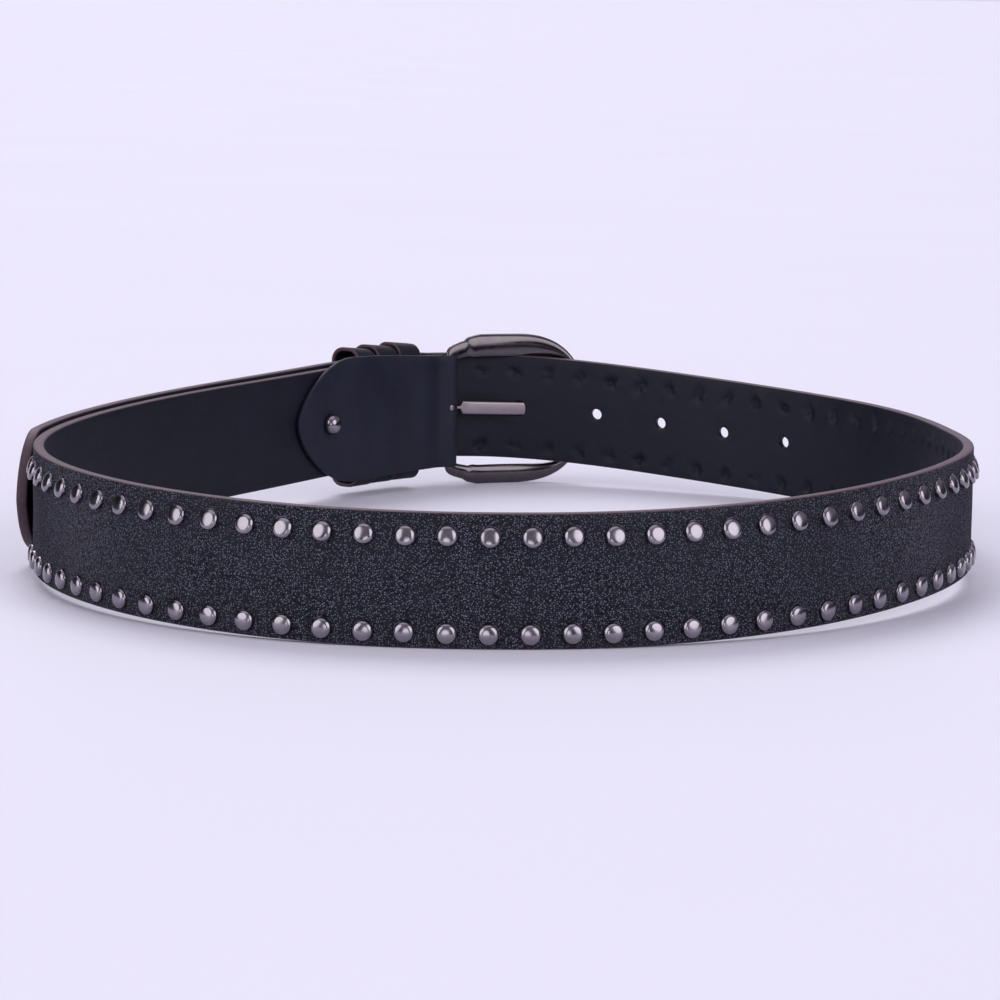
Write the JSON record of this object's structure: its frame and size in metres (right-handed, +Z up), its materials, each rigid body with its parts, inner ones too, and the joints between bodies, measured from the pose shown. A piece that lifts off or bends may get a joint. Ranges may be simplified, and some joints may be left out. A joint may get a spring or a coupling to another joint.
{
  "type": "studded leather belt",
  "caption": "Black leather waist belt with rows of domed metal studs, fastened into a loop and standing on its edge.",
  "frame": {"origin": "centre of the belt's bounding box, on the surface that it stands on", "axes": "+Z up; -Y is the front of the loop and +Y the back, where the buckle is; +X is right seen from the front"},
  "size_m": [0.2997, 0.3624, 0.055],
  "materials": {
    "black_leather": "fine pebbled grain outside, smooth inside, brown cut edges",
    "black_nickel": "polished black nickel plating",
    "satin_nickel": "satin nickel plating",
    "gunmetal": "polished gunmetal plating"
  },
  "bodies": {
    "root": {"strap": "black_leather", "buckle_tab": "black_leather", "keeper_1": "black_leather", "keeper_2": "black_leather", "keeper_3": "black_leather", "buckle_frame": "black_nickel", "prong": "satin_nickel", "tab_rivet": "gunmetal"}
  },
  "joints": []
}
